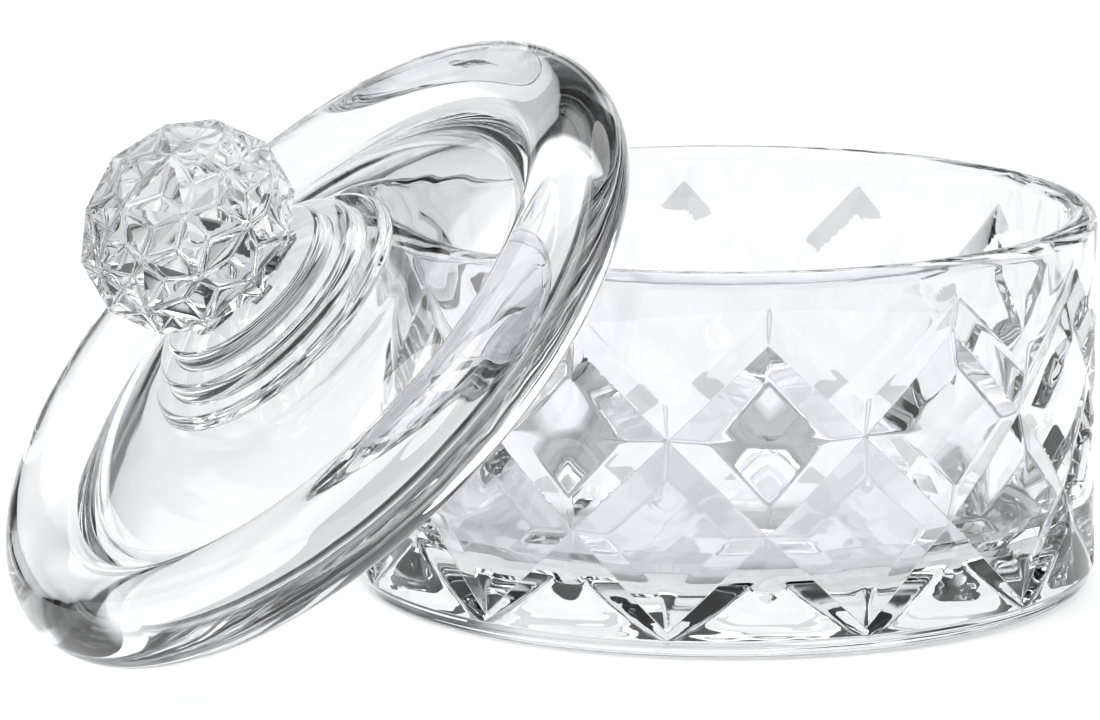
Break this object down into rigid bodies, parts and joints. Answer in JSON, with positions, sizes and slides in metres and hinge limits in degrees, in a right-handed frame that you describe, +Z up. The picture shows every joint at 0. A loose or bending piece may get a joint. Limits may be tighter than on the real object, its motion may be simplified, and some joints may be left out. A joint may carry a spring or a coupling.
{
  "type": "lidded pressed glass dappen dish",
  "caption": "Clear pressed-glass dappen dish for nail liquids, with a mitred diamond-cut wall and a loose lid with a faceted ball knob, shown leaning on the rim.",
  "frame": {"origin": "centre of the bowl's flat foot, on the surface it stands on", "axes": "+Z up along the bowl's axis; the lid leans over the -X, -Y side of the rim"},
  "size_m": [0.1507, 0.1383, 0.0782],
  "materials": {
    "glass": "fire-polished clear pressed glass"
  },
  "bodies": {
    "bowl": {"bowl": "glass"},
    "lid": {"lid": "glass"}
  },
  "joints": [
    {"name": "lid_lift", "type": "slide", "parent": "bowl", "child": "lid", "axis": [0, 0, 1], "range_m": [0, 0.12]}
  ]
}
